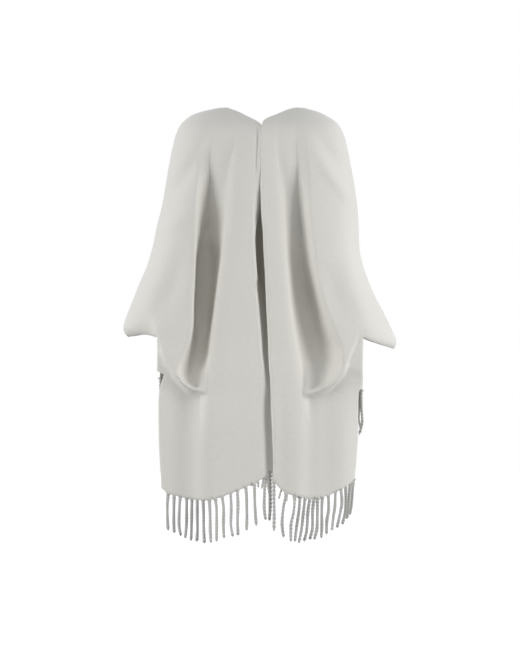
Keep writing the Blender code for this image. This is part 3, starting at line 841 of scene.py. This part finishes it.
@dataclass
class Fringe:
    """Twisted two-ply strands hanging from a hem.

    Attributes:
        material: their finish.
        ply: the radius of one ply.
        apart: how far each ply's middle lies from the strand's.
        turn: the length over which the plies wind round once.
        length: the master strand's length.
        root: how far up each strand starts inside the cloth's edge.
        pitch: how far apart the back's strands stand; last_pitch is for its last two.
        back_size: how thick the back's strands are, as a share of the others.
        unevenness: how far they stand off their even places.
        short_by: how much shorter the back's last but one is.
        sway_marks: where along a strand its sways are given.
        tip_share: the share of its length over which it thins out; web_share is for its wider root.
    """

    material: bpy.types.Material
    ply: float = 2.55
    apart: float = 2.0
    turn: float = 15.0
    length: float = 96.0
    root: float = 2.5
    pitch: float = 15.0
    last_pitch: float = 8.0
    back_size: float = 0.75
    end_gap: float = 3.0
    unevenness: float = 2.2
    back_length: float = 95.0
    short_by: float = 15.0
    ply_sides: int = 7
    turn_steps: int = 12
    spin: float = 2.4
    sway_marks: Row = (0, 0.35, 0.7, 1)
    tip_share: float = 0.025
    web_share: float = 0.035

    def master(self) -> bpy.types.Object:
        """Winds two plies round each other, down from the origin.

        Returns:
            The strand that all the others are copied from.
        """
        bpy.ops.object.select_all(action="DESELECT")
        plies = []
        for start in (0.0, math.pi):
            place = (self.apart * math.cos(start) * MM, self.apart * math.sin(start) * MM, 0)
            tilt = (math.pi / 2, 0, start)
            bpy.ops.mesh.primitive_circle_add(
                vertices=self.ply_sides, radius=self.ply * MM, location=place, rotation=tilt
            )
            ply = bpy.context.object
            bpy.ops.object.transform_apply(location=True, rotation=True, scale=True)
            bpy.ops.object.modifier_add(type="SCREW")
            wind = ply.modifiers[-1]
            wind.angle = 2 * math.pi * self.length / self.turn
            wind.screw_offset = -self.length * MM
            wind.steps = wind.render_steps = int(self.turn_steps * self.length / self.turn)
            wind.use_smooth_shade = True
            bpy.ops.object.modifier_apply(modifier=wind.name)
            bpy.ops.object.mode_set(mode="EDIT")
            bpy.ops.mesh.select_all(action="SELECT")
            bpy.ops.mesh.fill_holes(sides=0)
            bpy.ops.mesh.normals_make_consistent(inside=False)
            bpy.ops.object.mode_set(mode="OBJECT")
            plies.append(ply)
        plies[0].select_set(True)
        bpy.context.view_layer.objects.active = plies[0]
        bpy.ops.object.join()
        strand = bpy.context.object
        strand.name = "strand_master"
        return strand

    def bent(self, points: np.ndarray, strand: Strand, n: int, size: float) -> np.ndarray:
        """Hangs a copy of the master strand's points from a root.

        Args:
            points: the master's points in millimetres.
            strand: how it hangs.
            n: its number, which turns it so that no two match.
            size: its thickness, as a share.

        Returns:
            The strand's points in millimetres.
        """
        down = -points[:, 2] / self.length
        spin = self.spin * n
        across = points[:, 0] * math.cos(spin) - points[:, 1] * math.sin(spin)
        deep = points[:, 0] * math.sin(spin) + points[:, 1] * math.cos(spin)
        tip = np.clip((down - (1 - self.tip_share)) / self.tip_share, 0, 1)
        thick = size * (1 + 0.05 * math.sin(3.1 * n) + 0.08 * np.sin(9 * down + n) - 0.45 * tip**2)
        web = np.exp(-down / self.web_share)
        move = smooth_between(self.sway_marks, [0, *strand.sway], down)
        forward = 1.8 * np.sin(2.2 * n) * np.sin(np.pi * down) + 2.5 * np.sin(1.7 * n) * down
        x = strand.root[0] + move + across * thick * (1 + 0.7 * web)
        y = strand.root[1] + forward + deep * thick * (1 - 0.3 * web)
        z = strand.root[2] + self.root - down * (strand.length + self.root)
        return np.stack([x, y, z], axis=-1)

    def row(self, name: str, strands: list[Strand], size: float = 1.0) -> bpy.types.Object:
        """Makes one hem's strands as one piece.

        Args:
            name: the piece's name.
            strands: how each strand hangs.
            size: their thickness, as a share.

        Returns:
            The piece.
        """
        master = self.master()
        points = np.array([v.co for v in master.data.vertices]) / MM
        parts = []
        for n, strand in enumerate(strands):
            copy = master.copy()
            copy.data = master.data.copy()
            bpy.context.scene.collection.objects.link(copy)
            hung = self.bent(points, strand, n, size)
            copy.data.vertices.foreach_set("co", (hung * MM).ravel())
            parts.append(copy)
        bpy.data.objects.remove(master)
        bpy.ops.object.select_all(action="DESELECT")
        for part in parts:
            part.select_set(True)
        bpy.context.view_layer.objects.active = parts[0]
        bpy.ops.object.join()
        piece = bpy.context.object
        piece.name = name
        piece.data.name = name
        piece.data.materials.clear()
        piece.data.materials.append(self.material)
        piece.data.shade_smooth()
        return piece

    def from_table(self, name: str, hem: np.ndarray, side: Side, rows: Table) -> bpy.types.Object:
        """Hangs a front hem's strands where the photograph has them.

        Args:
            name: the piece's name.
            hem: the cloth's lower edge, from the inner edge out.
            side: which front.
            rows: a row for each strand.

        Returns:
            The piece.
        """
        out = side.value * hem[:, 0]
        strands = []
        for row in rows:
            y, z = (np.interp(row[0], out, hem[:, k]) for k in (1, 2))
            strands.append(Strand(np.array([side.value * row[0], y, z]), row[1:4], row[4]))
        return self.row(name, strands)

    def evenly(self, name: str, hem: np.ndarray) -> bpy.types.Object:
        """Hangs strands of the usual pitch along the back's hem, each with a sway of its own.

        Args:
            name: the piece's name.
            hem: the cloth's lower edge, from end to end.

        Returns:
            The piece.
        """
        steps = np.linalg.norm(np.diff(hem, axis=0), axis=1)
        along = np.concatenate([[0], np.cumsum(steps)])
        count = int((along[-1] - 2 * self.end_gap) / self.pitch) + 1
        marks = np.linspace(self.end_gap, along[-1] - self.end_gap, count)
        marks[1:-1] += self.unevenness * np.sin(2.7 * np.arange(1, count - 1))
        marks[-2] = marks[-1] - self.last_pitch
        roots = [np.array([np.interp(mark, along, hem[:, k]) for k in range(3)]) for mark in marks]
        waves = ((1.5, 1.9, 0), (3, 1.9, 0.8), (4, 2.3, 0))
        sways = [tuple(far * math.sin(rate * n + start) for far, rate, start in waves) for n in range(count)]
        lengths = [self.back_length + 3 * math.sin(4.1 * n) for n in range(count)]
        lengths[-2] -= self.short_by
        return self.row(name, [Strand(*hung) for hung in zip(roots, sways, lengths)], self.back_size)


def fill(node: bpy.types.Node, values: dict[str, object]) -> None:
    """Sets a node's inputs.

    Args:
        node: the node.
        values: what each named input is set to.
    """
    for name, value in values.items():
        node.inputs[name].default_value = value


def link(tree: bpy.types.NodeTree, *pairs: tuple[Socket, Socket]) -> None:
    """Joins sockets.

    Args:
        tree: the tree that they are in.
        pairs: each output and the input that it feeds.
    """
    for start, end in pairs:
        tree.links.new(start, end)


@dataclass
class NapGroup:
    """The shared node group of the wool: a brushed nap over a fine weave, in tone, roughness and relief.

    Attributes:
        threads: how many threads a metre has, across and down the cloth.
        brushing: how the nap is drawn out along the warp.
    """

    name: str = "brushed_wool_nap"
    threads: tuple[float, float] = (620.0, 520.0)
    nap_scale: float = 620.0
    mottle_scale: float = 150.0
    drift_scale: float = 9.0
    brushing: tuple[float, float, float] = (1.0, 1.0, 0.22)
    group: bpy.types.NodeTree = field(init=False)

    def __post_init__(self) -> None:
        """Starts with an empty group."""
        self.group = bpy.data.node_groups.new(self.name, "ShaderNodeTree")

    def node(self, kind: str, **settings: object) -> bpy.types.Node:
        """Adds a node.

        Args:
            kind: its type.
            settings: its properties.

        Returns:
            The node.
        """
        node = self.group.nodes.new(kind)
        for key, value in settings.items():
            setattr(node, key, value)
        return node

    def noise(self, place: Socket, scale: float, detail: float) -> Socket:
        """Adds a noise texture.

        Args:
            place: its coordinates.
            scale: how fine it is.
            detail: how many finer layers it has.

        Returns:
            Its tone.
        """
        texture = self.node("ShaderNodeTexNoise")
        fill(texture, {"Scale": scale, "Detail": detail})
        self.group.links.new(place, texture.inputs["Vector"])
        return texture.outputs["Fac"]

    def sum_of(self, terms: list[tuple[Socket, float]], start: float) -> Socket:
        """Adds up tones, each times its share.

        Args:
            terms: the tones and their shares.
            start: what is added to them.

        Returns:
            The sum.
        """
        total = None
        for tone, share in terms:
            add = self.node("ShaderNodeMath", operation="MULTIPLY_ADD")
            self.group.links.new(tone, add.inputs[0])
            add.inputs[1].default_value = share
            add.inputs[2].default_value = start
            if total is not None:
                self.group.links.new(total, add.inputs[2])
            total = add.outputs[0]
        return total

    def build(self) -> bpy.types.NodeTree:
        """Builds the group.

        Returns:
            The group: Place, Colour, Shade and Roughness in; Colour, Roughness and Height out.
        """
        face = self.group.interface
        taken = {"Place": "Vector", "Colour": "Color", "Shade": "Color", "Roughness": "Float"}
        given_out = {"Colour": "Color", "Roughness": "Float", "Height": "Float"}
        for way, sockets in (("INPUT", taken), ("OUTPUT", given_out)):
            for label, kind in sockets.items():
                face.new_socket(name=label, in_out=way, socket_type=f"NodeSocket{kind}")
        given = self.node("NodeGroupInput")
        brushed = self.node("ShaderNodeMapping")
        brushed.inputs["Scale"].default_value = self.brushing
        link(self.group, (given.outputs["Place"], brushed.inputs["Vector"]))
        nap = self.noise(brushed.outputs[0], self.nap_scale, 4)
        mottle = self.noise(given.outputs["Place"], self.mottle_scale, 4)
        drift = self.noise(brushed.outputs[0], self.drift_scale, 2)
        ribs = []
        for direction, count in (("X", self.threads[0]), ("Z", self.threads[1])):
            rib = self.node("ShaderNodeTexWave", wave_type="BANDS", bands_direction=direction)
            fill(rib, {"Scale": count * math.pi / 10, "Distortion": 1.2, "Detail": 2, "Detail Scale": 4})
            link(self.group, (given.outputs["Place"], rib.inputs["Vector"]))
            ribs.append(rib.outputs["Fac"])
        shares = [(nap, 0.35), (mottle, 0.6), (drift, 0.35), (ribs[0], 0.06), (ribs[1], 0.06)]
        tone = self.sum_of(shares, -0.22)
        blend = self.node("ShaderNodeMix", data_type="RGBA")
        rough = self.node("ShaderNodeMath", operation="MULTIPLY_ADD", use_clamp=True)
        rough.inputs[1].default_value = 0.08
        height = self.sum_of([(nap, 0.7), (mottle, 0.5), (ribs[0], 0.12), (ribs[1], 0.12)], 0.0)
        made = self.node("NodeGroupOutput")
        link(
            self.group,
            (tone, blend.inputs["Factor"]),
            (given.outputs["Shade"], blend.inputs["A"]),
            (given.outputs["Colour"], blend.inputs["B"]),
            (nap, rough.inputs[0]),
            (given.outputs["Roughness"], rough.inputs[2]),
            (blend.outputs["Result"], made.inputs["Colour"]),
            (rough.outputs[0], made.inputs["Roughness"]),
            (height, made.inputs["Height"]),
        )
        return self.group


@dataclass(frozen=True)
class BrushedWool:
    """Heavy double-face wool with its nap brushed down: matt, with a soft bloom at grazing angles.

    Attributes:
        colour: its tone on the nap's high places.
        shade: its tone between them.
        relief: how high the nap stands, in metres.
        attribute: the attribute that the pattern follows, or nothing for the object's own coordinates.
    """

    nap: bpy.types.NodeTree
    colour: tuple[float, float, float] = (0.797, 0.777, 0.71)
    shade: tuple[float, float, float] = (0.687, 0.667, 0.602)
    roughness: float = 0.88
    sheen: float = 0.25
    relief: float = 0.0006
    attribute: str = ""

    def material(self, name: str) -> bpy.types.Material:
        """Builds the finish.

        Args:
            name: the material's name.

        Returns:
            The material.
        """
        material = bpy.data.materials.new(name)
        material.use_nodes = True
        tree = material.node_tree
        shader = tree.nodes["Principled BSDF"]
        fill(shader, {"Sheen Weight": self.sheen, "Sheen Roughness": 0.5, "Specular IOR Level": 0.2})
        wool = tree.nodes.new("ShaderNodeGroup")
        wool.node_tree = self.nap
        fill(wool, {"Colour": (*self.colour, 1), "Shade": (*self.shade, 1), "Roughness": self.roughness})
        if self.attribute:
            place = tree.nodes.new("ShaderNodeAttribute")
            place.attribute_name = self.attribute
        else:
            place = tree.nodes.new("ShaderNodeTexCoord")
        bump = tree.nodes.new("ShaderNodeBump")
        fill(bump, {"Strength": 0.3, "Distance": self.relief})
        link(
            tree,
            (place.outputs["Vector" if self.attribute else "Object"], wool.inputs["Place"]),
            (wool.outputs["Height"], bump.inputs["Height"]),
            (bump.outputs["Normal"], shader.inputs["Normal"]),
            (wool.outputs["Colour"], shader.inputs["Base Color"]),
            (wool.outputs["Roughness"], shader.inputs["Roughness"]),
        )
        return material


@dataclass(frozen=True)
class Lamp:
    """A square soft light: its name, its place, its side and its power in watts."""

    name: str
    place: tuple[float, float, float]
    size: float
    power: float


@dataclass(frozen=True)
class Studio:
    """The camera, the lights and the pale room.

    Attributes:
        air: how bright the air is, from straight below (0) past the horizon (0.5) to straight above (1); the
            first two rows are the lowest and the highest.
        air_behind: how much brighter it is behind the garment than beside it.
        aim: the place that the lamps face.
        shoulder_pixel: where the middle of the shoulder points stands in the picture.
    """

    distance: float = 8.0
    floor_drop: float = 1.45
    pixels_per_metre: float = 440.0
    air: Table = ((0.0, 0.16), (1.0, 0.37), (0.32, 0.35), (0.5, 0.86), (0.66, 0.92))
    air_behind: float = 0.62
    air_tint: tuple[float, float, float] = (0.965, 0.99, 1.07)
    lamp_tint: tuple[float, float, float] = (0.99, 0.99, 0.995)
    lamps: tuple[Lamp, ...] = (
        Lamp("key", (3.2, -1.6, -0.85), 1.4, 73),
        Lamp("fill", (-3.2, -1.6, -0.85), 1.4, 62),
        Lamp("crown", (0.2, -3.4, 3.0), 2.4, 30),
    )
    aim: tuple[float, float, float] = (0, 0, -0.45)
    photo_size: tuple[int, int] = (520, 650)
    shoulder_pixel: tuple[float, float] = (261.0, 108.0)
    sensor: float = 36
    far: float = 60
    floor_size: float = 30

    def camera(self) -> None:
        """Makes the camera level with the middle of the photograph, square to the garment's front."""
        width, height = self.photo_size
        x = (width / 2 - self.shoulder_pixel[0]) / self.pixels_per_metre
        z = -(height / 2 - self.shoulder_pixel[1]) / self.pixels_per_metre
        bpy.ops.object.camera_add(location=(x, -self.distance, z), rotation=(math.pi / 2, 0, 0))
        camera = bpy.context.object
        camera.name = "camera"
        camera.data.sensor_width = self.sensor
        camera.data.lens = self.sensor * self.distance * self.pixels_per_metre / height
        camera.data.clip_end = self.far
        bpy.context.scene.camera = camera

    def room(self) -> None:
        """Makes the pale floor."""
        bpy.ops.mesh.primitive_plane_add(size=self.floor_size, location=(0, 0, -self.floor_drop))
        floor = bpy.context.object
        floor.name = "floor"
        paper = bpy.data.materials.new("studio_paper")
        paper.use_nodes = True
        shader = paper.node_tree.nodes["Principled BSDF"]
        fill(shader, {"Base Color": (0.95, 0.95, 0.95, 1), "Roughness": 0.9})
        fill(shader, {"Emission Color": (1, 1, 1, 1), "Emission Strength": 0.6})
        floor.data.materials.append(paper)
        floor.visible_diffuse = False
        floor.visible_glossy = False

    def softbox(self, lamp: Lamp) -> None:
        """Makes a lamp, aimed at the garment's middle.

        Args:
            lamp: the lamp.
        """
        bpy.ops.object.light_add(type="AREA", location=lamp.place)
        light = bpy.context.object
        light.name = lamp.name
        light.data.size = lamp.size
        light.data.energy = lamp.power
        light.data.color = self.lamp_tint
        aim = Vector(self.aim) - Vector(lamp.place)
        light.rotation_euler = aim.to_track_quat("-Z", "Y").to_euler()

    def world(self) -> None:
        """Fills the room with soft light by height, which the camera sees as plain white."""
        world = bpy.data.worlds.new("studio_air")
        world.use_nodes = True
        tree = world.node_tree
        air = tree.nodes["Background"]
        air.inputs["Color"].default_value = (*self.air_tint, 1)
        kinds = ("TexCoord", "SeparateXYZ", "MapRange", "ValToRGB", "Math", "Math", "Background", "LightPath")
        made = (tree.nodes.new(f"ShaderNode{kind}") for kind in (*kinds, "MixShader"))
        place, split, height, level, behind, both, seen, ray, pick = made
        fill(height, {"From Min": -1.0})
        stops = level.color_ramp.elements
        for n, (at, strength) in enumerate(self.air):
            stop = stops[n] if n < 2 else stops.new(at)
            stop.position = at
            stop.color = (strength, strength, strength, 1)
        behind.operation = "MULTIPLY_ADD"
        behind.inputs[1].default_value = self.air_behind
        behind.inputs[2].default_value = 1.0
        both.operation = "MULTIPLY"
        fill(seen, {"Color": (1, 1, 1, 1), "Strength": 1.0})
        link(
            tree,
            (place.outputs["Generated"], split.inputs[0]),
            (split.outputs["Z"], height.inputs["Value"]),
            (height.outputs["Result"], level.inputs["Fac"]),
            (split.outputs["Y"], behind.inputs[0]),
            (level.outputs["Color"], both.inputs[0]),
            (behind.outputs[0], both.inputs[1]),
            (both.outputs[0], air.inputs["Strength"]),
            (ray.outputs["Is Camera Ray"], pick.inputs[0]),
            (air.outputs[0], pick.inputs[1]),
            (seen.outputs[0], pick.inputs[2]),
            (pick.outputs[0], tree.nodes["World Output"].inputs["Surface"]),
        )
        bpy.context.scene.world = world

    def build(self) -> None:
        """Makes all of it."""
        self.camera()
        self.room()
        self.world()
        for lamp in self.lamps:
            self.softbox(lamp)
        scene = bpy.context.scene
        scene.view_settings.view_transform = "Standard"
        scene.view_settings.look = "None"


class Poncho:
    """The garment: one cloth, and a fringe along each hem."""

    def __init__(self) -> None:
        """Sets out its shape and finishes."""
        self.shape = GarmentShape()
        nap = NapGroup().build()
        self.wool = BrushedWool(nap, attribute="weave").material("brushed_wool")
        yarn = BrushedWool(nap, (0.76, 0.745, 0.70), (0.52, 0.51, 0.475), 0.92, 0.1, 0.0004)
        self.yarn = yarn.material("twisted_yarn")

    def build(self) -> None:
        """Makes every piece and reports it."""
        shell = Shell(self.shape.wall)
        hems = {}
        for side in Side:
            panel = FRONT_LEFT if side is Side.LEFT else FRONT_RIGHT
            front = Drape(self.shape, panel, side, Face.FRONT).grid(FRONT_LEVELS, FRONT_COLUMNS)
            back = Drape(self.shape, BACK, side, Face.BACK).grid(BACK_LEVELS, BACK_COLUMNS)
            shell.add(front, side.value)
            shell.add(back, -side.value)
            hems[Face.FRONT, side] = front.points[-1, : front.body_columns + 1]
            hems[Face.BACK, side] = back.points[-1, : back.body_columns + 1]
        cloth = shell.build("woven_cloth", self.wool)
        fringe = Fringe(self.yarn)
        left = fringe.from_table("strands_front_left", hems[Face.FRONT, Side.LEFT], Side.LEFT, STRANDS_LEFT)
        hem_right = hems[Face.FRONT, Side.RIGHT]
        right = fringe.from_table("strands_front_right", hem_right, Side.RIGHT, STRANDS_RIGHT)
        whole = np.concatenate([hems[Face.BACK, Side.LEFT][::-1], hems[Face.BACK, Side.RIGHT][1:]])
        behind = fringe.evenly("strands_back", whole)
        self.declare(cloth, left, right, behind)

    def declare(self, cloth: bpy.types.Object, *fringes: bpy.types.Object) -> None:
        """Attaches each piece to the body, hides the imported part that it stands for, and logs its faces.

        Args:
            cloth: the woven cloth.
            fringes: the strands of the left front, the right front and the back.
        """
        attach(cloth, BODY)
        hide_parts("back", "front_left", "front_right")
        for piece, node in zip(fringes, ("fringe_front_left", "fringe_front_right", "fringe_back")):
            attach(piece, BODY)
            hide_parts(node)
        for piece in (cloth, *fringes):
            LOG.info("%s: %d faces", piece.name, len(piece.data.polygons))


def main() -> None:
    """Builds the studio and the garment."""
    logging.basicConfig(level=logging.INFO, format="%(name)s: %(message)s")
    bpy.ops.object.select_all(action="DESELECT")
    Studio().build()
    Poncho().build()


if __name__ == "__main__":
    main()
